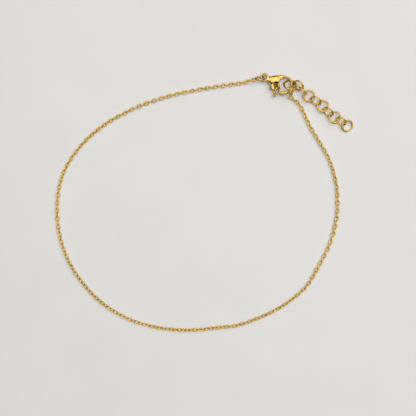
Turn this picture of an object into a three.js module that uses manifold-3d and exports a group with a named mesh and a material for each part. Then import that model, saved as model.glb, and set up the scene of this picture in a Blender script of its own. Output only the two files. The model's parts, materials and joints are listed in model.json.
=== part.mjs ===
// Fine gold cable-chain anklet with a lobster clasp and a short extender of rings.
// It lies open on a table: X along the longest way, Z up, millimetres.

import * as THREE from 'three';
import { mergeVertices } from 'three/addons/utils/BufferGeometryUtils.js';
import Module from 'manifold-3d';

const wasm = await Module();
wasm.setup();

// Chain: outer width of its links, and how the tube that stands for it is stepped.
const CHAIN_WIDTH = 1.2;
const CHAIN_SIDES = 8;
const CHAIN_STEPS = 80;
const CHAIN_REST = CHAIN_WIDTH / 2;
const ROUTE_DIVISIONS = 1200;

// Rings: outer diameter and wire of the extender's rings, sides round a ring and round its wire.
const EXTENDER_OD = 3.55;
const EXTENDER_WIRE = 0.5;
const RING_SIDES = 16;
const WIRE_SIDES = 6;

// Clasp: where the middle of its eye lies, and the heading of its long axis in degrees.
const CLASP_EYE = { x: 16.84, y: 35.22, z: 1.2 };
const CLASP_HEADING = -20.4;
const EYE_RADIUS = 0.9;
const EYE_SIDE = 0.6;
const EYE_DEEP = 0.9;
const CLAW_CENTRE = { u: 6.15, v: 0 };
const CLAW_RADIUS = 1.92;
const PIVOT = { u: 3.75, v: 1.2 };
const PIN_RADIUS = 0.18;
const PIN_HOLD = 0.15;
const BORE_RADIUS = 0.27;
const BOSS_RADIUS = 0.42;
const BOSS_DEEP = 1.2;
const SLOT_HALF = 0.72;
const SLOT_ROUND = 0.54;
const TAB = { u: 4.53, v: -3.46, radius: 0.5 };

// How square the sections are: 2 is an oval, more is nearer to a rectangle.
const BODY_SQUARE = 2.6;
const HOOK_SQUARE = 2.4;
const LEVER_SQUARE = 2.6;

// Fineness of the clasp, and a height that reaches past it from its middle.
const SECTION_SIDES = 16;
const HOOK_STEPS = 36;
const LEVER_STEPS = 12;
const TAB_STEPS = 6;
const CLAW_SIDES = 28;
const ROUND_SIDES = 20;
const PIN_SIDES = 12;
const EYE_SIDES = 20;
const EYE_WIRE_SIDES = 8;
const BALL_SIDES = 12;
const PAST = 2;

// The way the chain lies, from the left ring round to the right ring: x, y and height of its axis.
const CHAIN_ROUTE = [
  [13.55, 34.65, 1.15],
  [11.35, 33.95, 0.7],
  [9.15, 33.6, CHAIN_REST],
  [3.1, 32.7, CHAIN_REST],
  [-2.3, 31.8, CHAIN_REST],
  [-8.9, 30.4, CHAIN_REST],
  [-15.5, 28.4, CHAIN_REST],
  [-21.8, 25.7, CHAIN_REST],
  [-28.2, 22.1, CHAIN_REST],
  [-34.1, 17.1, CHAIN_REST],
  [-38.9, 10.7, CHAIN_REST],
  [-41.1, 5.0, CHAIN_REST],
  [-41.9, -1.1, CHAIN_REST],
  [-41.5, -7.4, CHAIN_REST],
  [-40.0, -13.5, CHAIN_REST],
  [-37.4, -19.0, CHAIN_REST],
  [-33.8, -24.0, CHAIN_REST],
  [-29.5, -28.3, CHAIN_REST],
  [-24.5, -31.7, CHAIN_REST],
  [-19.1, -34.1, CHAIN_REST],
  [-13.4, -35.5, CHAIN_REST],
  [-7.8, -36.2, CHAIN_REST],
  [-2.3, -36.2, CHAIN_REST],
  [3.2, -35.6, CHAIN_REST],
  [8.7, -35.0, CHAIN_REST],
  [14.1, -33.3, CHAIN_REST],
  [19.4, -30.9, CHAIN_REST],
  [24.4, -27.8, CHAIN_REST],
  [28.8, -23.8, CHAIN_REST],
  [32.0, -18.6, CHAIN_REST],
  [34.8, -13.2, CHAIN_REST],
  [36.8, -7.3, CHAIN_REST],
  [37.6, -1.1, CHAIN_REST],
  [37.3, 4.3, CHAIN_REST],
  [36.2, 9.2, CHAIN_REST],
  [34.7, 13.1, CHAIN_REST],
  [31.8, 18.0, CHAIN_REST],
  [29.5, 22.0, CHAIN_REST],
  [27.7, 25.9, CHAIN_REST],
  [26.8, 27.6, CHAIN_REST],
  [25.65, 28.6, 0.65],
  [24.6, 29.3, 0.9],
];

// Rings at the chain's ends and on the claw: size, place, and heading, pitch and roll in degrees.
const JUMP_RINGS = [
  {
    name: 'chain_ring_left', od: 2.95, wire: 0.44,
    x: 15.45, y: 34.93, z: 1.34, heading: 6, pitch: 1, roll: -62,
  },
  {
    name: 'chain_ring_right', od: 3.67, wire: 0.46,
    x: 24.48, y: 31.15, z: 1.91, heading: 75, pitch: -24, roll: 76,
  },
  {
    name: 'closing_ring', od: 4.0, wire: 0.5,
    x: 24.08, y: 33.1, z: 1.33, heading: -7, pitch: -2, roll: -38,
  },
];

// Rings of the extender, from the claw to the free end.
const EXTENDER_RINGS = [
  { x: 26.38, y: 32.85, z: 1.79, heading: -45, pitch: -3, roll: 54 },
  { x: 27.65, y: 31.57, z: 1.75, heading: -45, pitch: 0, roll: -76 },
  { x: 29.4, y: 29.97, z: 1.43, heading: -37, pitch: -1, roll: 5 },
  { x: 31.32, y: 28.55, z: 1.56, heading: -35, pitch: 0, roll: 58 },
  { x: 33.3, y: 27.11, z: 1.49, heading: -37, pitch: 1, roll: 4 },
  { x: 34.76, y: 25.44, z: 1.58, heading: -40, pitch: 0, roll: 59 },
  { x: 36.62, y: 23.98, z: 1.41, heading: -36, pitch: 2, roll: 4 },
  { x: 38.43, y: 22.78, z: 1.59, heading: -32, pitch: 3, roll: 61 },
  { x: 40.28, y: 21.56, z: 0.81, heading: -35, pitch: 19, roll: 5 },
];

// Clasp sections. u runs from the eye to the far end of the claw, v across it, w is the mid-height.
const BODY_ROWS = [
  { u: 0.7, v: -0.03, w: 0, wide: 1.15, deep: 0.85 },
  { u: 1.25, v: -0.07, w: 0, wide: 1.62, deep: 1.2 },
  { u: 2.2, v: -0.02, w: 0, wide: 2.8, deep: 1.9 },
  { u: 2.9, v: -0.05, w: 0, wide: 3.8, deep: 2.4 },
  { u: 3.75, v: -0.45, w: 0, wide: 5.2, deep: 2.4 },
  { u: 4.3, v: -0.6, w: 0, wide: 5.6, deep: 2.1 },
];
const HOOK_ROWS = [
  { u: 3.4, v: 1.1, w: 0, wide: 1.0, deep: 1.8 },
  { u: 4.3, v: 1.76, w: 0, wide: 1.08, deep: 1.8 },
  { u: 5.3, v: 2.1, w: 0, wide: 0.66, deep: 1.35 },
  { u: 6.2, v: 2.17, w: 0, wide: 0.62, deep: 1.16 },
  { u: 7.05, v: 1.9, w: 0, wide: 0.66, deep: 1.16 },
  { u: 7.7, v: 1.2, w: 0, wide: 0.68, deep: 1.16 },
  { u: 7.98, v: 0.1, w: 0, wide: 0.66, deep: 1.16 },
  { u: 7.83, v: -1.0, w: 0, wide: 0.68, deep: 1.16 },
  { u: 7.32, v: -1.85, w: 0, wide: 0.78, deep: 1.16 },
  { u: 6.62, v: -2.35, w: 0, wide: 0.92, deep: 1.16 },
  { u: 5.9, v: -2.5, w: 0, wide: 0.86, deep: 1.12 },
  { u: 5.3, v: -2.52, w: 0, wide: 0.5, deep: 0.95 },
  { u: 4.8, v: -2.38, w: 0, wide: 0.28, deep: 0.7 },
];
const LEVER_ROWS = [
  { u: 3.78, v: 1.2, w: 0, wide: 0.6, deep: 1.2 },
  { u: 3.86, v: 0.7, w: 0, wide: 0.6, deep: 1.2 },
  { u: 4.0, v: 0.1, w: 0, wide: 0.58, deep: 1.2 },
  { u: 4.27, v: -0.5, w: 0.1, wide: 0.6, deep: 1.4 },
  { u: 4.65, v: -1.1, w: 0.1, wide: 0.64, deep: 1.5 },
  { u: 5.05, v: -1.6, w: 0, wide: 0.64, deep: 1.24 },
  { u: 5.36, v: -1.9, w: 0, wide: 0.5, deep: 1.1 },
];
const TAB_ROWS = [
  { u: 4.45, v: -1.15, w: -0.15, wide: 0.6, deep: 0.8 },
  { u: 4.22, v: -1.9, w: -0.15, wide: 0.5, deep: 0.8 },
  { u: 4.15, v: -2.6, w: -0.1, wide: 0.46, deep: 0.9 },
  { u: 4.25, v: -3.1, w: 0, wide: 0.46, deep: 1.0 },
  { u: 4.5, v: -3.45, w: 0, wide: 0.5, deep: 1.05 },
];

// Outline of the slot between the cheeks that the lever swings in: u, v.
const SLOT = [
  [3.35, 0.9],
  [3.28, 0.2],
  [3.2, -0.6],
  [3.1, -1.3],
  [2.9, -1.9],
  [2.65, -2.4],
  [2.2, -3.8],
  [4.5, -3.8],
  [4.5, 0.6],
  [4.55, 1.3],
  [4.25, 1.45],
  [3.5, 1.3],
];

// Outline of the hollow in the upper cheek, where the lever's bar shows from above: u, v.
const HOLLOW = [
  [4.6, 0.1],
  [3.8, 0],
  [3.05, -0.45],
  [2.85, -0.75],
  [3.3, -1.15],
  [3.8, -1.7],
  [4.2, -2.1],
  [4.6, -2.5],
];

// One rounded section: a softened oval with flat facets at top and bottom.
function sectionRing(centre, across, wide, deep, square) {
  const shape = [];
  for (let k = 0; k < SECTION_SIDES; k += 1) {
    const angle = ((k + 0.5) / SECTION_SIDES) * 2 * Math.PI;
    const c = Math.cos(angle);
    const s = Math.sin(angle);
    const x = Math.sign(c) * Math.pow(Math.abs(c), 2 / square);
    const y = Math.sign(s) * Math.pow(Math.abs(s), 2 / square);
    shape.push(new THREE.Vector2(x, y));
  }
  const full = shape.reduce((most, p) => Math.max(most, p.y), 0);
  return shape.map((p) => {
    const point = centre.clone();
    point.addScaledVector(across, (p.x / full) * wide * 0.5);
    point.z += (p.y / full) * deep * 0.5;
    return point;
  });
}

// Skin over a row of sections, closed by a fan at each end.
function skin(rings) {
  const points = rings.flat();
  const sides = rings[0].length;
  const index = [];
  for (let r = 0; r < rings.length - 1; r += 1) {
    for (let k = 0; k < sides; k += 1) {
      const a = r * sides + k;
      const b = r * sides + ((k + 1) % sides);
      index.push(a, b, b + sides, a, b + sides, a + sides);
    }
  }
  for (const [row, turned] of [[0, true], [rings.length - 1, false]]) {
    const middle = new THREE.Vector3();
    rings[row].forEach((p) => middle.addScaledVector(p, 1 / sides));
    const hub = points.push(middle) - 1;
    for (let k = 0; k < sides; k += 1) {
      const a = row * sides + k;
      const b = row * sides + ((k + 1) % sides);
      index.push(...(turned ? [hub, b, a] : [hub, a, b]));
    }
  }
  const geometry = new THREE.BufferGeometry().setFromPoints(points);
  geometry.setIndex(index);
  return geometry;
}

// Sweep rounded sections along the curve through the rows' middles.
function sweep(rows, steps, square) {
  const path = new THREE.CatmullRomCurve3(rows.map((r) => new THREE.Vector3(r.u, r.v, r.w)));
  const sizes = new THREE.CatmullRomCurve3(rows.map((r) => new THREE.Vector3(r.wide, r.deep, 0)));
  const rings = [];
  for (let k = 0; k <= steps; k += 1) {
    const t = k / steps;
    const along = path.getTangent(t);
    const across = new THREE.Vector3(-along.y, along.x, 0).normalize();
    const size = sizes.getPoint(t);
    rings.push(sectionRing(path.getPoint(t), across, size.x, size.y, square));
  }
  return skin(rings);
}

// Flat plate over a plan outline, between two heights.
function plate(outline, low, high) {
  const shape = new THREE.Shape(outline.map(([u, v]) => new THREE.Vector2(u, v)));
  const geometry = new THREE.ExtrudeGeometry(shape, { depth: high - low, bevelEnabled: false });
  return geometry.translate(0, 0, low);
}

// Upright round bar at a place in the clasp's plan.
function post(place, radius, height, sides) {
  const geometry = new THREE.CylinderGeometry(radius, radius, height, sides);
  return geometry.rotateX(Math.PI / 2).translate(place.u, place.v, 0);
}

function solid(geometry) {
  const bare = new THREE.BufferGeometry();
  bare.setAttribute('position', geometry.getAttribute('position').clone());
  if (geometry.index) {
    bare.setIndex(geometry.index.clone());
  }
  const merged = mergeVertices(bare, 1e-4);
  const vertProperties = new Float32Array(merged.getAttribute('position').array);
  const triVerts = new Uint32Array(merged.index.array);
  return new wasm.Manifold(new wasm.Mesh({ numProp: 3, vertProperties, triVerts }));
}

function geometryOf(manifold) {
  const mesh = manifold.getMesh();
  const geometry = new THREE.BufferGeometry();
  geometry.setAttribute('position', new THREE.BufferAttribute(mesh.vertProperties, 3));
  geometry.setIndex(new THREE.BufferAttribute(mesh.triVerts, 1));
  geometry.computeVertexNormals();
  return geometry;
}

function gold(color, roughness) {
  return new THREE.MeshStandardMaterial({ color, roughness, metalness: 1 });
}

function part(name, geometry, material) {
  const mesh = new THREE.Mesh(geometry, material);
  mesh.name = name;
  return mesh;
}

// Chain: an eight-sided tube with a flat side down, along the way it lies.
function chainGeometry() {
  const route = new THREE.CatmullRomCurve3(CHAIN_ROUTE.map((row) => new THREE.Vector3(...row)));
  route.arcLengthDivisions = ROUTE_DIVISIONS;
  const reach = CHAIN_WIDTH / 2 / Math.cos(Math.PI / CHAIN_SIDES);
  const corners = [];
  for (let k = 0; k < CHAIN_SIDES; k += 1) {
    const angle = ((k + 0.5) / CHAIN_SIDES) * 2 * Math.PI;
    corners.push(new THREE.Vector2(reach * Math.cos(angle), reach * Math.sin(angle)));
  }
  const section = new THREE.Shape(corners);
  return new THREE.ExtrudeGeometry(section, { steps: CHAIN_STEPS, extrudePath: route });
}

function ringMesh(name, od, wire, row) {
  const geometry = new THREE.TorusGeometry((od - wire) / 2, wire / 2, WIRE_SIDES, RING_SIDES);
  const mesh = part(name, geometry, gold(0xc9a468, 0.24));
  const turn = [row.roll, row.pitch, row.heading].map(THREE.MathUtils.degToRad);
  mesh.position.set(row.x, row.y, row.z);
  mesh.rotation.set(...turn, 'ZYX');
  return mesh;
}

// Clasp body: eye, flared body and hook in one, cut out for the claw, the lever and its swing.
function claspBody() {
  const eye = new THREE.TorusGeometry(EYE_RADIUS, EYE_SIDE / 2, EYE_WIRE_SIDES, EYE_SIDES);
  const claw = solid(post(CLAW_CENTRE, CLAW_RADIUS, 2 * PAST, CLAW_SIDES));
  const slot = solid(plate(SLOT, -SLOT_HALF, SLOT_HALF));
  const hollow = solid(plate(HOLLOW, 0, PAST));
  const round = solid(post(PIVOT, SLOT_ROUND, 2 * SLOT_HALF, ROUND_SIDES));
  const pin = solid(post(PIVOT, PIN_RADIUS, 2 * (SLOT_HALF + PIN_HOLD), PIN_SIDES));
  return solid(sweep(BODY_ROWS, BODY_ROWS.length - 1, BODY_SQUARE))
    .subtract(claw)
    .add(solid(sweep(HOOK_ROWS, HOOK_STEPS, HOOK_SQUARE)))
    .add(solid(eye.scale(1, 1, EYE_DEEP / EYE_SIDE)))
    .subtract(slot)
    .subtract(hollow)
    .subtract(round)
    .add(pin);
}

// Clasp lever: a bar from the pivot across the claw's mouth, with an arm to the thumb tab.
function claspLever() {
  const ball = new THREE.SphereGeometry(TAB.radius, BALL_SIDES, BALL_SIDES / 2).rotateX(Math.PI / 2);
  return solid(sweep(LEVER_ROWS, LEVER_STEPS, LEVER_SQUARE))
    .add(solid(post(PIVOT, BOSS_RADIUS, BOSS_DEEP, ROUND_SIDES)))
    .add(solid(sweep(TAB_ROWS, TAB_STEPS, LEVER_SQUARE)))
    .add(solid(ball.translate(TAB.u, TAB.v, 0)))
    .subtract(solid(post(PIVOT, BORE_RADIUS, 2 * PAST, ROUND_SIDES)));
}

const anklet = new THREE.Group();
anklet.add(part('chain', chainGeometry(), gold(0xccb281, 0.3)));
JUMP_RINGS.forEach((row) => anklet.add(ringMesh(row.name, row.od, row.wire, row)));
EXTENDER_RINGS.forEach((row, k) => {
  const name = `extender_ring_${String(k + 1).padStart(2, '0')}`;
  anklet.add(ringMesh(name, EXTENDER_OD, EXTENDER_WIRE, row));
});

const clasp = new THREE.Group();
clasp.position.set(CLASP_EYE.x, CLASP_EYE.y, CLASP_EYE.z);
clasp.rotation.z = THREE.MathUtils.degToRad(CLASP_HEADING);
clasp.add(part('clasp_body', geometryOf(claspBody()), gold(0xc4a066, 0.2)));
clasp.add(part('clasp_lever', geometryOf(claspLever()), gold(0xc4a066, 0.2)));
anklet.add(clasp);

// Set the whole down with the middle of its box at the origin and its underside at zero.
const box = new THREE.Box3().setFromObject(anklet, true);
const middle = box.getCenter(new THREE.Vector3());
anklet.position.set(-middle.x, -middle.y, -box.min.z);

export default anklet;
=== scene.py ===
import json
import math
import random

import bpy
import numpy as np
from mathutils import Matrix, Vector


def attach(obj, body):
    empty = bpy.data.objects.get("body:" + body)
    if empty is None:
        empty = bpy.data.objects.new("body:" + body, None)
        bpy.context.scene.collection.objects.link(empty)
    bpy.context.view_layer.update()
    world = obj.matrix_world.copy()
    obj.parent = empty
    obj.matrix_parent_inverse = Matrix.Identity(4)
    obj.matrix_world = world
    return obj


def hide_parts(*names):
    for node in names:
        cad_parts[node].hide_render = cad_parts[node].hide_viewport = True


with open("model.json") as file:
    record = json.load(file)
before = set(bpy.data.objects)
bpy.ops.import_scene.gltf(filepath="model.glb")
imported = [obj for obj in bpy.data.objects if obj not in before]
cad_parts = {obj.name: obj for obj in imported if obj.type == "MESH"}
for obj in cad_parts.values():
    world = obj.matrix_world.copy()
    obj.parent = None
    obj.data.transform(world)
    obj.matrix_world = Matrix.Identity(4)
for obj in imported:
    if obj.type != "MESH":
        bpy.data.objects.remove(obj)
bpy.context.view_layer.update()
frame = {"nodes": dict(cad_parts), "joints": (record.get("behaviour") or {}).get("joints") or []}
MM = 0.001

# Clasp: place and heading of the part's own clasp, millimetres and degrees.
CLASP_EYE = (16.84, 35.22, 1.2)
CLASP_HEADING = -20.4
EYE_RADIUS = 0.9
EYE_SIDE = 0.6
EYE_DEEP = 0.9
CLAW_CENTRE = (6.15, 0.0)
CLAW_RADIUS = 1.92
PIVOT = (3.75, 1.2)
BORE_RADIUS = 0.27
PIN_RADIUS = 0.18
BOSS_RADIUS = 0.42
BOSS_DEEP = 1.2
SLOT_HALF = 0.72
SLOT_ROUND = 0.54
TAB_CENTRE = (4.53, -3.46)
TAB_RADIUS = 0.5
TAB_DIMPLE = 0.26
RIVET_RADIUS = 0.26
RIVET_DIMPLE = 0.16
RIVET_LEVEL = 1.1

PIN_HOLD = 0.1

# How square the clasp's sections are: 2 is an oval, more is nearer to a rectangle.
BODY_SQUARE = 2.5
HOOK_SQUARE = 2.2
LEVER_SQUARE = 2.4

# Roundings of the clasp: fillets where its forms meet, softened cut edges, and passes of smoothing.
BROAD_FILLET = 0.2
FINE_FILLET = 0.1
PIN_FILLET = 0.04
CLAW_EDGE = 0.1
HOLLOW_EDGE = 0.08
SLOT_EDGE = 0.06
DIMPLE_EDGE = 0.05
BORE_EDGE = 0.04
SOFTENING = 2

# Clasp sections: u from the eye to the claw's far end, v across, w mid-height, width and depth.
BODY_ROWS = [
    (0.7, -0.03, 0, 1.15, 0.85),
    (1.25, -0.07, 0, 1.62, 1.2),
    (2.2, -0.02, 0, 2.8, 1.9),
    (2.9, -0.05, 0, 3.8, 2.36),
    (3.25, -0.2, 0, 4.4, 2.42),
    (3.75, -0.45, 0, 5.2, 2.3),
    (4.3, -0.6, 0, 5.6, 2.02),
]
HOOK_ROWS = [
    (3.4, 1.1, 0, 1.0, 1.8),
    (4.3, 1.76, 0, 1.08, 1.8),
    (5.3, 2.1, 0, 0.66, 1.35),
    (6.2, 2.17, 0, 0.62, 1.16),
    (7.05, 1.9, 0, 0.66, 1.16),
    (7.7, 1.2, 0, 0.68, 1.16),
    (7.98, 0.1, 0, 0.66, 1.16),
    (7.83, -1.0, 0, 0.68, 1.16),
    (7.32, -1.85, 0, 0.78, 1.16),
    (6.62, -2.35, 0, 0.92, 1.16),
    (5.9, -2.5, 0, 0.86, 1.12),
    (5.3, -2.52, 0, 0.5, 0.95),
    (4.8, -2.38, 0, 0.28, 0.7),
]
LEVER_ROWS = [
    (3.78, 1.2, 0, 0.6, 1.2),
    (3.86, 0.7, 0, 0.6, 1.2),
    (4.0, 0.1, 0, 0.58, 1.2),
    (4.27, -0.5, 0.1, 0.6, 1.4),
    (4.65, -1.1, 0.1, 0.64, 1.5),
    (5.05, -1.6, 0, 0.64, 1.24),
    (5.36, -1.9, 0, 0.5, 1.1),
]
TAB_ROWS = [
    (4.45, -1.15, -0.15, 0.6, 0.8),
    (4.22, -1.9, -0.15, 0.5, 0.8),
    (4.15, -2.6, -0.1, 0.46, 0.9),
    (4.25, -3.1, 0, 0.46, 1.0),
    (4.5, -3.45, 0, 0.5, 1.05),
]

# Outlines of the slot that the lever swings in and of the hollow in the upper cheek: u, v.
SLOT = [
    (3.35, 0.9), (3.28, 0.2), (3.2, -0.6), (3.1, -1.3), (2.9, -1.9), (2.65, -2.4), (2.2, -3.8),
    (4.5, -3.8), (4.5, 0.6), (4.55, 1.3), (4.25, 1.45), (3.5, 1.3),
]
HOLLOW = [
    (4.6, 0.1), (3.8, 0.0), (3.05, -0.45), (2.75, -0.8),
    (3.1, -1.4), (3.55, -2.0), (3.95, -2.45), (4.6, -2.7),
]

# Chain: outer length, outer width and wire of a link, and the distance from link to link.
LINK_LENGTH = 1.75
LINK_WIDTH = 1.2
LINK_WIRE = 0.3
LINK_PITCH = 1.117
LINK_STEPS = 30
LINK_SIDES = 10
RING_HOLD = 0.35
REST = 0.6

# The way the chain lies: x, y and height of its axis, as in the part.
CHAIN_ROUTE = [
    (13.55, 34.65, 1.15), (11.35, 33.95, 0.7), (9.15, 33.6, REST), (3.1, 32.7, REST),
    (-2.3, 31.8, REST), (-8.9, 30.4, REST), (-15.5, 28.4, REST), (-21.8, 25.7, REST),
    (-28.2, 22.1, REST), (-34.1, 17.1, REST), (-38.9, 10.7, REST), (-41.1, 5.0, REST),
    (-41.9, -1.1, REST), (-41.5, -7.4, REST), (-40.0, -13.5, REST), (-37.4, -19.0, REST),
    (-33.8, -24.0, REST), (-29.5, -28.3, REST), (-24.5, -31.7, REST), (-19.1, -34.1, REST),
    (-13.4, -35.5, REST), (-7.8, -36.2, REST), (-2.3, -36.2, REST), (3.2, -35.6, REST),
    (8.7, -35.0, REST), (14.1, -33.3, REST), (19.4, -30.9, REST), (24.4, -27.8, REST),
    (28.8, -23.8, REST), (32.0, -18.6, REST), (34.8, -13.2, REST), (36.8, -7.3, REST),
    (37.6, -1.1, REST), (37.3, 4.3, REST), (36.2, 9.2, REST), (34.7, 13.1, REST),
    (31.8, 18.0, REST), (29.5, 22.0, REST), (27.7, 25.9, REST), (26.8, 27.6, REST),
    (25.65, 28.6, 0.65), (24.6, 29.3, 0.9),
]

# How the links are turned about the chain's axis: share of its length, degrees from lying flat.
LINK_ROLL = [
    (0.02, 10), (0.06, 2), (0.14, 0), (0.2, 18), (0.27, 22), (0.33, 8), (0.37, 30), (0.42, 44),
    (0.5, 46), (0.56, 30), (0.62, 24), (0.7, 28), (0.76, 8), (0.8, -20), (0.85, 5), (0.9, 34),
    (0.95, 12), (0.99, 20),
]
ROLL_JITTER = 7.0
YAW_JITTER = 3.0
LINK_SEED = 7

# Rings: steps round the ring and its wire, and the seam of the wire's two rounded ends.
RING_STEPS = 64
RING_WIRE_SIDES = 18
SEAM = 0.012
SEAM_OPEN = 0.2
SEAM_ROUND = 0.93
SEAM_SEED = 3

# Steps of a curve between two of its points, and the shortest stretch that it takes.
ROUTE_STEPS = 40
SWEEP_STEPS = 10
SHORTEST = 1e-6

# Gold of each slot: pale and deep tint, roughness, size of grain, and reach of the painted shade in
# recesses, in millimetres.
GOLDS = {
    "chain_gold": ((0.86, 0.6, 0.17), (0.76, 0.5, 0.11), 0.24, 0.6, 0.12),
    "ring_gold": ((0.8, 0.55, 0.16), (0.7, 0.46, 0.1), 0.2, 0.6, 0.2),
    "clasp_gold": ((0.7, 0.49, 0.15), (0.58, 0.38, 0.09), 0.12, 0.8, 1.1),
}

# Gold's patches of tint, painted shade in recesses, uneven polish and fine marks: spreads, and sizes in
# grains.
TINT_GRAINS = 4.0
TINT_SPREAD = (0.35, 0.65)
# Painted shade: the occlusion span over which the base colour darkens, and the dark tint painted into
# recesses.
PAINTED_SHADE_SPREAD = (0.3, 0.75)
PAINTED_SHADE_TINT = (0.22, 0.16, 0.1)
POLISH_SPREAD = (0.7, 1.4)
MARKS_A_GRAIN = 6
MARK_STRENGTH = 0.12
MARK_DEPTH = 0.02
WHITE = (1, 1, 1)

# Photograph: width of its view on the floor and the middle of that view, in millimetres.
VIEW_WIDTH = 118.1
VIEW_MIDDLE = (0.85, -1.7)
LENS = 85.0
SENSOR = 36.0
CLIP_START = 10.0

# Floor: half its width in metres, and its mottled tones.
FLOOR_REACH = 3.0
FLOOR_ROUGH = 0.75
FLOOR_GLOSS = 0.2
FLOOR_MOTTLE = 60.0
FLOOR_TONES = ((0.70, 0.695, 0.68), (0.74, 0.735, 0.72))

# Studio that the metal mirrors: a bright ceiling round one direction and dark walls away from it,
# each beginning at a cosine of the angle from that direction.
CEILING_AIM = (0.04, 0.2, 0.98)
WALL_GLOW = 0.06
WALL_TINT = (1.0, 0.95, 0.88)
WALL_TOP = 0.5
CEILING_GLOW = 1.9
CEILING_TINT = (1.0, 1.0, 0.98)
CEILING_EDGE = 0.88

# Dark patch straight overhead, where a camera hangs in the ceiling: sines of its height, and its glow.
PATCH_EDGE = 0.975
PATCH_MIDDLE = 0.99
PATCH_GLOW = 0.12

# Lamps that light the floor: place and width in metres, power in watts.
LAMP_TINT = (1.0, 0.995, 0.985)
LAMPS = [
    ("overhead", (0.1, 0.09, 0.95), 0.45, 4.2),
    ("key", (0.5, 0.45, 0.8), 0.8, 4.5),
    ("fill", (0.0, 0.0, 1.6), 3.0, 13.8),
]


def turned(angle):
    return np.array([[math.cos(angle), -math.sin(angle)], [math.sin(angle), math.cos(angle)]])


# The part is set down with the middle of its box at the origin: the lever's pivot tells by how much.
PIVOT_ROW = np.array(frame["joints"][0]["pos_m"]) / MM
CLASP_TURN = turned(math.radians(CLASP_HEADING))
SET_DOWN = PIVOT_ROW - np.array([*(CLASP_TURN @ PIVOT + CLASP_EYE[:2]), CLASP_EYE[2]])


def catmull(points, counts):
    """Centripetal curve through points: counts values for each stretch, and the last point."""
    p = np.array(points, float)
    p = np.vstack([2 * p[0] - p[1], p, 2 * p[-1] - p[-2]])
    out = []
    for k in range(1, len(p) - 2):
        x0, x1, x2, x3 = p[k - 1 : k + 3]
        pairs = ((x0, x1), (x1, x2), (x2, x3))
        d0, d1, d2 = (max(np.linalg.norm(b - a), SHORTEST) ** 0.5 for a, b in pairs)
        m1 = ((x1 - x0) / d0 - (x2 - x0) / (d0 + d1) + (x2 - x1) / d1) * d1
        m2 = ((x2 - x1) / d1 - (x3 - x1) / (d1 + d2) + (x3 - x2) / d2) * d1
        t = np.arange(counts)[:, None] / counts
        h = t * t * (3 - 2 * t)
        out.append(x1 * (1 - h) + x2 * h + m1 * t * (1 - t) ** 2 - m2 * t * t * (1 - t))
    return np.vstack([*out, p[-2:-1]])


def spaced(path, distances):
    """Points at given distances along a fine path."""
    run = np.concatenate([[0], np.cumsum(np.linalg.norm(np.diff(path, axis=0), axis=1))])
    return np.stack([np.interp(distances, run, path[:, k]) for k in range(3)], axis=1)


def path_length(path):
    return float(np.linalg.norm(np.diff(path, axis=0), axis=1).sum())


def mesh_object(name, verts, faces):
    mesh = bpy.data.meshes.new(name)
    mesh.from_pydata(np.asarray(verts).tolist(), [], [list(f) for f in faces])
    mesh.validate()
    obj = bpy.data.objects.new(name, mesh)
    bpy.context.scene.collection.objects.link(obj)
    return obj


def grid_faces(rows, sides, closed):
    """Quads over a grid of rows round a tube; closed joins the last row to the first."""
    faces = []
    for r in range(rows if closed else rows - 1):
        for k in range(sides):
            a, b = r * sides + k, r * sides + (k + 1) % sides
            c, d = ((r + 1) % rows) * sides + (k + 1) % sides, ((r + 1) % rows) * sides + k
            faces.append((a, b, c, d))
    return faces


# Materials


def noise(nodes, scale, detail):
    node = nodes.new("ShaderNodeTexNoise")
    node.inputs["Scale"].default_value = scale
    node.inputs["Detail"].default_value = detail
    return node


def ramp(nodes, places, tints):
    """Ramp from one tint to another between two places."""
    node = nodes.new("ShaderNodeValToRGB")
    for stop, place, tint in zip(node.color_ramp.elements, places, tints):
        stop.position = place
        stop.color = (*tint, 1)
    return node


def times(nodes, links, first, second):
    """The product of two colours."""
    node = nodes.new("ShaderNodeVectorMath")
    node.operation = "MULTIPLY"
    links.new(first, node.inputs[0])
    links.new(second, node.inputs[1])
    return node.outputs["Vector"]


def gold(name, pale, deep, rough, grain_mm, shade_reach_mm):
    """Polished gold plating with patches of tint, painted shade darkening its recesses, uneven polish
    and fine marks.
    """
    grain = grain_mm * MM
    material = bpy.data.materials.new(name)
    material.use_nodes = True
    nodes, links = material.node_tree.nodes, material.node_tree.links
    shader = nodes["Principled BSDF"]
    shader.inputs["Metallic"].default_value = 1.0
    place = nodes.new("ShaderNodeTexCoord")
    tint = noise(nodes, 1 / (TINT_GRAINS * grain), 3.0)
    polish = noise(nodes, 1 / grain, 5.0)
    marks = noise(nodes, MARKS_A_GRAIN / grain, 2.0)
    for pattern in (tint, polish, marks):
        links.new(place.outputs["Object"], pattern.inputs["Vector"])
    colours = ramp(nodes, TINT_SPREAD, (deep, pale))
    # Painted shade: ambient occlusion darkens the base colour towards a dark tint in recesses and where
    # parts crowd together.
    cover = nodes.new("ShaderNodeAmbientOcclusion")
    cover.inputs["Distance"].default_value = shade_reach_mm * MM
    painted_shade = ramp(nodes, PAINTED_SHADE_SPREAD, (PAINTED_SHADE_TINT, WHITE))
    links.new(tint.outputs["Fac"], colours.inputs["Fac"])
    links.new(cover.outputs["AO"], painted_shade.inputs["Fac"])
    shaded = times(nodes, links, colours.outputs["Color"], painted_shade.outputs["Color"])
    links.new(shaded, shader.inputs["Base Color"])
    sheen = nodes.new("ShaderNodeMapRange")
    sheen.inputs["To Min"].default_value = rough * POLISH_SPREAD[0]
    sheen.inputs["To Max"].default_value = rough * POLISH_SPREAD[1]
    links.new(polish.outputs["Fac"], sheen.inputs["Value"])
    links.new(sheen.outputs["Result"], shader.inputs["Roughness"])
    bump = nodes.new("ShaderNodeBump")
    bump.inputs["Strength"].default_value = MARK_STRENGTH
    bump.inputs["Distance"].default_value = grain * MARK_DEPTH
    links.new(marks.outputs["Fac"], bump.inputs["Height"])
    links.new(bump.outputs["Normal"], shader.inputs["Normal"])
    return material


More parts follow.
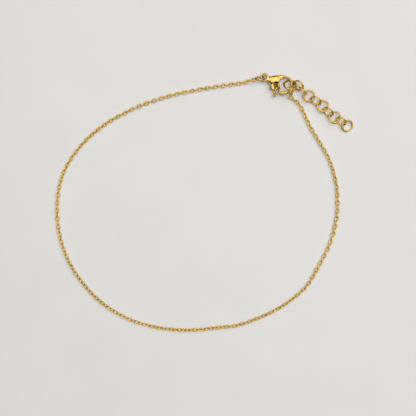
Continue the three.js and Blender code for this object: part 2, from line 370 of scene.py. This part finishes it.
def dress(obj, material, body, node):
    """Finish a piece: smooth, in its material, riding on its body in place of its node."""
    obj.data.materials.clear()
    obj.data.materials.append(material)
    obj.data.shade_smooth()
    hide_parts(node)
    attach(obj, body)
    return obj


# Rings


def ring_of(node):
    """Middle, axis, ring radius and wire radius of a ring, measured on its solid, in metres."""
    co = np.array([v.co for v in frame["nodes"][node].data.vertices], float)
    middle = (co.min(0) + co.max(0)) / 2
    axis = np.linalg.eigh(np.cov((co - co.mean(0)).T))[1][:, 0]
    flat = (co - middle) - np.outer((co - middle) @ axis, axis)
    reach = np.linalg.norm(flat, axis=1)
    return middle, axis, (reach.max() + reach.min()) / 2, (reach.max() - reach.min()) / 2


def ring_piece(name, node, seam_turn):
    """Jump ring bent from round wire, with the butt joint of its two cut ends."""
    middle, axis, radius, wire = ring_of(node)
    x = np.cross(axis, (0.0, 0.0, 1.0))
    x /= np.linalg.norm(x)
    y = np.cross(axis, x)
    full = 2 * math.pi
    half = SEAM * MM / radius
    cut = half * SEAM_OPEN
    turns = [cut, *np.linspace(half, full - half, RING_STEPS), full - cut]
    sizes = [SEAM_ROUND, *np.ones(RING_STEPS), SEAM_ROUND]
    verts = []
    for turn, size in zip(turns, sizes):
        out = math.cos(turn + seam_turn) * x + math.sin(turn + seam_turn) * y
        for k in range(RING_WIRE_SIDES):
            a = full * k / RING_WIRE_SIDES
            off = out * math.cos(a) + axis * math.sin(a)
            verts.append(middle + out * radius + off * wire * size)
    rows = len(turns)
    faces = grid_faces(rows, RING_WIRE_SIDES, False)
    faces.append(tuple(range(RING_WIRE_SIDES))[::-1])
    faces.append(tuple((rows - 1) * RING_WIRE_SIDES + k for k in range(RING_WIRE_SIDES)))
    return outward(mesh_object(name, verts, faces))


def outward(obj):
    """Turn a closed mesh's faces outward."""
    mesh = obj.data
    mesh.calc_loop_triangles()
    co = np.array([v.co for v in mesh.vertices])
    tris = np.array([t.vertices for t in mesh.loop_triangles])
    a, b, c = co[tris[:, 0]], co[tris[:, 1]], co[tris[:, 2]]
    if np.einsum("ij,ij->i", a - co.mean(0), np.cross(b - co.mean(0), c - co.mean(0))).sum() < 0:
        mesh.flip_normals()
    return obj


# Clasp, worked out in millimetres about the middle of its eye as a field: below zero is metal

FIELD_LOW = np.array([-1.5, -4.3, -1.5])
FIELD_HIGH = np.array([8.8, 2.9, 1.5])
FIELD_STEP = 0.05
PAST = 2.0
U, V, W = (np.arange(low, high, FIELD_STEP) for low, high in zip(FIELD_LOW, FIELD_HIGH))
PLAN_U, PLAN_V = np.meshgrid(U, V, indexing="ij")
HEIGHT = W[None, None, :]


def swept(rows, power):
    """Field of rounded sections along the rows, with flat ends."""
    fine = catmull([(r[0], r[1], r[2]) for r in rows], SWEEP_STEPS)
    size = catmull([(r[3], r[4], 0.0) for r in rows], SWEEP_STEPS)
    best = np.full(PLAN_U.shape, np.inf)
    off, over, half_wide, half_deep, level = (np.zeros(PLAN_U.shape) for _ in range(5))
    last = len(fine) - 2
    for k in range(last + 1):
        start, step = fine[k, :2], fine[k + 1, :2] - fine[k, :2]
        reach = np.linalg.norm(step)
        t = ((PLAN_U - start[0]) * step[0] + (PLAN_V - start[1]) * step[1]) / reach**2
        at = np.clip(t, 0, 1)
        gap = np.hypot(PLAN_U - start[0] - at * step[0], PLAN_V - start[1] - at * step[1])
        near = gap < best
        side = np.abs((PLAN_V - start[1]) * step[0] - (PLAN_U - start[0]) * step[1]) / reach
        past = np.full(PLAN_U.shape, -1.0)
        past = np.maximum(past, -t * reach) if k == 0 else past
        past = np.maximum(past, (t - 1) * reach) if k == last else past
        best[near] = gap[near]
        off[near] = np.where(past > 0, side, gap)[near]
        over[near] = past[near]
        for kept, row in ((half_wide, size[:, 0] / 2), (half_deep, size[:, 1] / 2), (level, fine[:, 2])):
            kept[near] = (row[k] * (1 - at) + row[k + 1] * at)[near]
    across = (off / half_wide)[:, :, None] ** power
    upright = (np.abs(HEIGHT - level[:, :, None]) / half_deep[:, :, None]) ** power
    depth = np.minimum(half_wide, half_deep)[:, :, None]
    return np.maximum(((across + upright) ** (1 / power) - 1) * depth, over[:, :, None])


def plated(outline, low, high):
    """Field of a flat plate over a plan outline, between two heights."""
    inside = np.zeros(PLAN_U.shape, bool)
    gap = np.full(PLAN_U.shape, np.inf)
    for (u0, v0), (u1, v1) in zip(outline, outline[1:] + outline[:1]):
        step = np.array([u1 - u0, v1 - v0])
        t = np.clip(((PLAN_U - u0) * step[0] + (PLAN_V - v0) * step[1]) / (step @ step), 0, 1)
        gap = np.minimum(gap, np.hypot(PLAN_U - u0 - t * step[0], PLAN_V - v0 - t * step[1]))
        if v0 != v1:
            crosses = (PLAN_V >= min(v0, v1)) & (PLAN_V < max(v0, v1))
            inside ^= crosses & (PLAN_U < u0 + (PLAN_V - v0) / (v1 - v0) * (u1 - u0))
    plan = np.where(inside, -gap, gap)[:, :, None]
    return np.maximum(plan, np.abs(HEIGHT - (low + high) / 2) - (high - low) / 2)


def posted(place, radius, low, high):
    """Field of an upright round bar."""
    plan = (np.hypot(PLAN_U - place[0], PLAN_V - place[1]) - radius)[:, :, None]
    return np.maximum(plan, np.abs(HEIGHT - (low + high) / 2) - (high - low) / 2)


def balled(place, level, radius):
    """Field of a ball."""
    plan = np.hypot(PLAN_U - place[0], PLAN_V - place[1])[:, :, None]
    return np.hypot(plan, HEIGHT - level) - radius


def eyed():
    """Field of the eye: a ring whose wire is deeper than wide."""
    plan = (np.hypot(PLAN_U, PLAN_V) - EYE_RADIUS)[:, :, None]
    return np.hypot(plan, HEIGHT * EYE_SIDE / EYE_DEEP) - EYE_SIDE / 2


def joined(a, b, fillet):
    """Both solids, with a fillet where they meet."""
    blend = np.clip(0.5 + 0.5 * (b - a) / fillet, 0, 1)
    return b * (1 - blend) + a * blend - fillet * blend * (1 - blend)


def less(a, b, soft):
    """Solid a with b cut away, its new edges softened."""
    return -joined(-a, b, soft)


def skin_of(field):
    """Quads where the field crosses zero: a vertex in each crossed cell, a face on each crossed edge."""
    inside = field < 0
    cells = np.array(field.shape) - 1
    total = np.zeros((*cells, 3))
    count = np.zeros(cells)
    for axis in range(3):
        for first in (0, 1):
            for second in (0, 1):
                low = [None, None, None]
                low[axis] = 0
                low[(axis + 1) % 3], low[(axis + 2) % 3] = first, second
                high = list(low)
                high[axis] = 1
                a = field[tuple(slice(o, o + n) for o, n in zip(low, cells))]
                b = field[tuple(slice(o, o + n) for o, n in zip(high, cells))]
                crossed = (a < 0) != (b < 0)
                place = np.zeros((int(crossed.sum()), 3)) + low
                place[:, axis] = (a / np.where(crossed, a - b, 1))[crossed]
                total[crossed] += place
                count[crossed] += 1
    used = count > 0
    index = np.full(cells, -1)
    index[used] = np.arange(int(used.sum()))
    verts = FIELD_LOW + (np.argwhere(used) + total[used] / count[used][:, None]) * FIELD_STEP
    faces = []
    for axis in range(3):
        one, two = (axis + 1) % 3, (axis + 2) % 3
        ahead = np.take(inside, range(1, inside.shape[axis]), axis)
        here = np.take(inside, range(inside.shape[axis] - 1), axis)
        where = np.argwhere(here != ahead)
        leaving = here[tuple(where.T)]
        corners = []
        for back_one, back_two in ((0, 0), (1, 0), (1, 1), (0, 1)):
            cell = where.copy()
            cell[:, one] -= back_one
            cell[:, two] -= back_two
            corners.append(index[tuple(cell.T)])
        quads = np.stack(corners, axis=1)
        quads[~leaving] = quads[~leaving][:, ::-1]
        faces.append(quads)
    return verts, np.vstack(faces)


def cast(name, field):
    """One skin of a field with softened edges, set in the row frame."""
    verts, faces = skin_of(field)
    obj = mesh_object(name, verts, faces)
    smooth = obj.modifiers.new("soft", "SMOOTH")
    smooth.factor = 0.5
    smooth.iterations = SOFTENING
    settle(obj)
    place = Vector(CLASP_EYE) + Vector(SET_DOWN)
    turn = Matrix.Rotation(math.radians(CLASP_HEADING), 4, "Z")
    obj.data.transform(Matrix.Scale(MM, 4) @ Matrix.Translation(place) @ turn)
    return outward(obj)


def settle(obj):
    """Make an object's modifiers part of its mesh."""
    graph = bpy.context.evaluated_depsgraph_get()
    made = bpy.data.meshes.new_from_object(obj.evaluated_get(graph))
    obj.modifiers.clear()
    obj.data = made


def clasp_body_piece():
    """Eye, flared body and hook in one, with the claw, the lever's slot and the pivot pin."""
    solid = swept(BODY_ROWS, BODY_SQUARE)
    solid = less(solid, posted(CLAW_CENTRE, CLAW_RADIUS, -PAST, PAST), CLAW_EDGE)
    solid = joined(solid, swept(HOOK_ROWS, HOOK_SQUARE), BROAD_FILLET)
    solid = joined(solid, eyed(), BROAD_FILLET)
    solid = less(solid, plated(SLOT, -SLOT_HALF, SLOT_HALF), SLOT_EDGE)
    solid = less(solid, plated(HOLLOW, 0, PAST), HOLLOW_EDGE)
    solid = less(solid, posted(PIVOT, SLOT_ROUND, -SLOT_HALF, SLOT_HALF), BORE_EDGE)
    pin = posted(PIVOT, PIN_RADIUS, -SLOT_HALF - PIN_HOLD, SLOT_HALF + PIN_HOLD)
    solid = joined(solid, pin, PIN_FILLET)
    for side in (-1, 1):
        dimple = side * (RIVET_LEVEL + RIVET_RADIUS - RIVET_DIMPLE)
        solid = less(solid, balled(PIVOT, dimple, RIVET_RADIUS), DIMPLE_EDGE)
    return cast("clasp_casting", solid)


def clasp_lever_piece():
    """Bar that shuts the claw, with its bored boss and the thumb ball on its arm."""
    boss = posted(PIVOT, BOSS_RADIUS, -BOSS_DEEP / 2, BOSS_DEEP / 2)
    solid = joined(swept(LEVER_ROWS, LEVER_SQUARE), boss, FINE_FILLET)
    solid = joined(solid, swept(TAB_ROWS, LEVER_SQUARE), BROAD_FILLET)
    solid = joined(solid, balled(TAB_CENTRE, 0, TAB_RADIUS), FINE_FILLET)
    solid = less(solid, balled(TAB_CENTRE, TAB_RADIUS, TAB_DIMPLE), DIMPLE_EDGE)
    solid = less(solid, posted(PIVOT, BORE_RADIUS, -PAST, PAST), BORE_EDGE)
    return cast("clasp_trigger", solid)


# Chain


def link_loop():
    """Middle line of one link in its own plane: two straight sides and two round ends."""
    bend = (LINK_WIDTH - LINK_WIRE) / 2
    side = (LINK_LENGTH - LINK_WIDTH) / 2
    total = 4 * side + 2 * math.pi * bend
    points = []
    for k in range(LINK_STEPS):
        s = (k + 0.5) / LINK_STEPS * total
        if s < math.pi * bend:
            a = s / bend - math.pi / 2
            points.append((side + bend * math.cos(a), bend * math.sin(a)))
        elif s < math.pi * bend + 2 * side:
            points.append((side - (s - math.pi * bend), bend))
        elif s < 2 * math.pi * bend + 2 * side:
            a = (s - math.pi * bend - 2 * side) / bend + math.pi / 2
            points.append((-side + bend * math.cos(a), bend * math.sin(a)))
        else:
            points.append((-side + (s - 2 * math.pi * bend - 2 * side), -bend))
    return np.array(points)


def link_skin():
    """One link about its own middle, along X and lying flat."""
    loop = link_loop()
    along = np.roll(loop, -1, 0) - np.roll(loop, 1, 0)
    along /= np.linalg.norm(along, axis=1)[:, None]
    out = np.stack([along[:, 1], -along[:, 0]], axis=1)
    verts = []
    for p, n in zip(loop, out):
        for k in range(LINK_SIDES):
            a = 2 * math.pi * k / LINK_SIDES
            r = LINK_WIRE / 2
            verts.append((*(p + n * r * math.cos(a)), r * math.sin(a)))
    return np.array(verts), grid_faces(LINK_STEPS, LINK_SIDES, True)


def ring_catch(node, towards):
    """The point of a ring's wire nearest to a place, and the way its wire runs there, millimetres."""
    middle, axis, radius, _ = ring_of(node)
    out = (np.array(towards) * MM) - middle
    out -= axis * (out @ axis)
    out /= np.linalg.norm(out)
    return (middle + out * radius) / MM, np.cross(axis, out)


def roll_at(share):
    """Turn of the links at shares of the chain's length, in degrees."""
    table = np.array(LINK_ROLL, float)
    return np.interp(share, table[:, 0], table[:, 1])


def chain_piece():
    """All the links, each turned a quarter from the last, from the left ring to the right ring."""
    route = catmull(np.array(CHAIN_ROUTE) + SET_DOWN, ROUTE_STEPS)
    left, left_wire = ring_catch("chain_ring_left", route[0])
    right, right_wire = ring_catch("chain_ring_right", route[-1])
    path = np.vstack([left, route, right])
    room = path_length(path) - 2 * RING_HOLD
    count = int(round(room / LINK_PITCH)) + 1
    stations = RING_HOLD + np.linspace(0, room, count)
    middles = spaced(path, stations)
    share = np.linspace(0, 1, count)
    base = np.radians(roll_at(share))
    lean = np.maximum(np.abs(np.sin(base)), np.abs(np.cos(base)))
    lift = (LINK_WIDTH - LINK_WIRE) / 2 * lean + LINK_WIRE / 2
    middles[:, 2] += lift - REST
    draw = random.Random(LINK_SEED)
    skin, quads = link_skin()
    verts, faces = [], []
    for k in range(count):
        along = middles[min(k + 1, count - 1)] - middles[max(k - 1, 0)]
        along /= np.linalg.norm(along)
        yaw = math.radians(draw.uniform(-YAW_JITTER, YAW_JITTER))
        roll = base[k] + math.radians(draw.uniform(-ROLL_JITTER, ROLL_JITTER)) + (math.pi / 2) * (k % 2)
        along[:2] = turned(yaw) @ along[:2]
        side = np.cross((0.0, 0.0, 1.0), along)
        side /= np.linalg.norm(side)
        up = np.cross(along, side)
        wire = left_wire if k == 0 else right_wire if k == count - 1 else None
        if wire is not None:
            roll = math.atan2(-(wire @ side), wire @ up)
        face_side = math.cos(roll) * side + math.sin(roll) * up
        face_up = np.cross(along, face_side)
        turn = np.stack([along, face_side, face_up])
        faces += [tuple(i + len(skin) * k for i in q) for q in quads]
        verts.append(skin @ turn + middles[k])
    return outward(mesh_object("chain_links", np.vstack(verts) * MM, faces))


# Stage


def camera():
    """Camera straight above the anklet, as the photograph was taken."""
    data = bpy.data.cameras.new("camera")
    data.lens = LENS
    data.sensor_width = SENSOR
    data.clip_start = CLIP_START * MM
    obj = bpy.data.objects.new("camera", data)
    bpy.context.scene.collection.objects.link(obj)
    height = VIEW_WIDTH * LENS / SENSOR
    obj.location = Vector((VIEW_MIDDLE[0] + SET_DOWN[0], VIEW_MIDDLE[1] + SET_DOWN[1], height)) * MM
    bpy.context.scene.camera = obj


def floor():
    """Pale, faintly mottled floor."""
    corners = [(x * FLOOR_REACH, y * FLOOR_REACH, 0) for x, y in ((-1, -1), (1, -1), (1, 1), (-1, 1))]
    obj = mesh_object("floor", corners, [(0, 1, 2, 3)])
    material = bpy.data.materials.new("pale_floor")
    material.use_nodes = True
    nodes, links = material.node_tree.nodes, material.node_tree.links
    shader = nodes["Principled BSDF"]
    shader.inputs["Roughness"].default_value = FLOOR_ROUGH
    shader.inputs["Specular IOR Level"].default_value = FLOOR_GLOSS
    place = nodes.new("ShaderNodeTexCoord")
    mottle = noise(nodes, FLOOR_MOTTLE, 4.0)
    tone = ramp(nodes, (0.0, 1.0), FLOOR_TONES)
    links.new(place.outputs["Object"], mottle.inputs["Vector"])
    links.new(mottle.outputs["Fac"], tone.inputs["Fac"])
    links.new(tone.outputs["Color"], shader.inputs["Base Color"])
    obj.data.materials.append(material)


def area_light(name, place, size, power):
    """Round lamp aimed at the middle of the floor, unseen in the metal."""
    data = bpy.data.lights.new(name, "AREA")
    data.shape = "DISK"
    data.size = size
    data.energy = power
    data.color = LAMP_TINT
    obj = bpy.data.objects.new(name, data)
    obj.location = place
    obj.rotation_euler = (-Vector(place)).to_track_quat("-Z", "Y").to_euler()
    obj.visible_glossy = False
    bpy.context.scene.collection.objects.link(obj)


def studio():
    """A pale ceiling and dark walls for the metal to mirror, and soft lamps that light the floor."""
    world = bpy.data.worlds.new("studio")
    world.use_nodes = True
    nodes, links = world.node_tree.nodes, world.node_tree.links
    place = nodes.new("ShaderNodeTexCoord")
    towards = nodes.new("ShaderNodeVectorMath")
    towards.operation = "DOT_PRODUCT"
    towards.inputs[1].default_value = CEILING_AIM
    wall = [WALL_GLOW * c for c in WALL_TINT]
    ceiling = [CEILING_GLOW * c for c in CEILING_TINT]
    room = ramp(nodes, (WALL_TOP, CEILING_EDGE), (wall, ceiling))
    parts = nodes.new("ShaderNodeSeparateXYZ")
    patch = ramp(nodes, (PATCH_EDGE, PATCH_MIDDLE), (WHITE, (PATCH_GLOW, PATCH_GLOW, PATCH_GLOW)))
    links.new(place.outputs["Generated"], towards.inputs[0])
    links.new(towards.outputs["Value"], room.inputs["Fac"])
    links.new(place.outputs["Generated"], parts.inputs["Vector"])
    links.new(parts.outputs["Z"], patch.inputs["Fac"])
    seen = times(nodes, links, room.outputs["Color"], patch.outputs["Color"])
    links.new(seen, nodes["Background"].inputs["Color"])
    nodes["Background"].inputs["Strength"].default_value = 1.0
    world.cycles_visibility.diffuse = False
    bpy.context.scene.world = world
    for name, spot, size, power in LAMPS:
        area_light(name, spot, size, power)
    bpy.context.scene.view_settings.view_transform = "Standard"


camera()
studio()
floor()

golds = {slot: gold(slot, *row) for slot, row in GOLDS.items()}

dress(chain_piece(), golds["chain_gold"], "anklet", "chain")
seams = random.Random(SEAM_SEED)
for node in sorted(n for n in frame["nodes"] if "ring" in n):
    ring = ring_piece(node + "_wire", node, seams.uniform(0, 2 * math.pi))
    dress(ring, golds["ring_gold"], "anklet", node)
dress(clasp_body_piece(), golds["clasp_gold"], "anklet", "clasp_body")
dress(clasp_lever_piece(), golds["clasp_gold"], "lever", "clasp_lever")
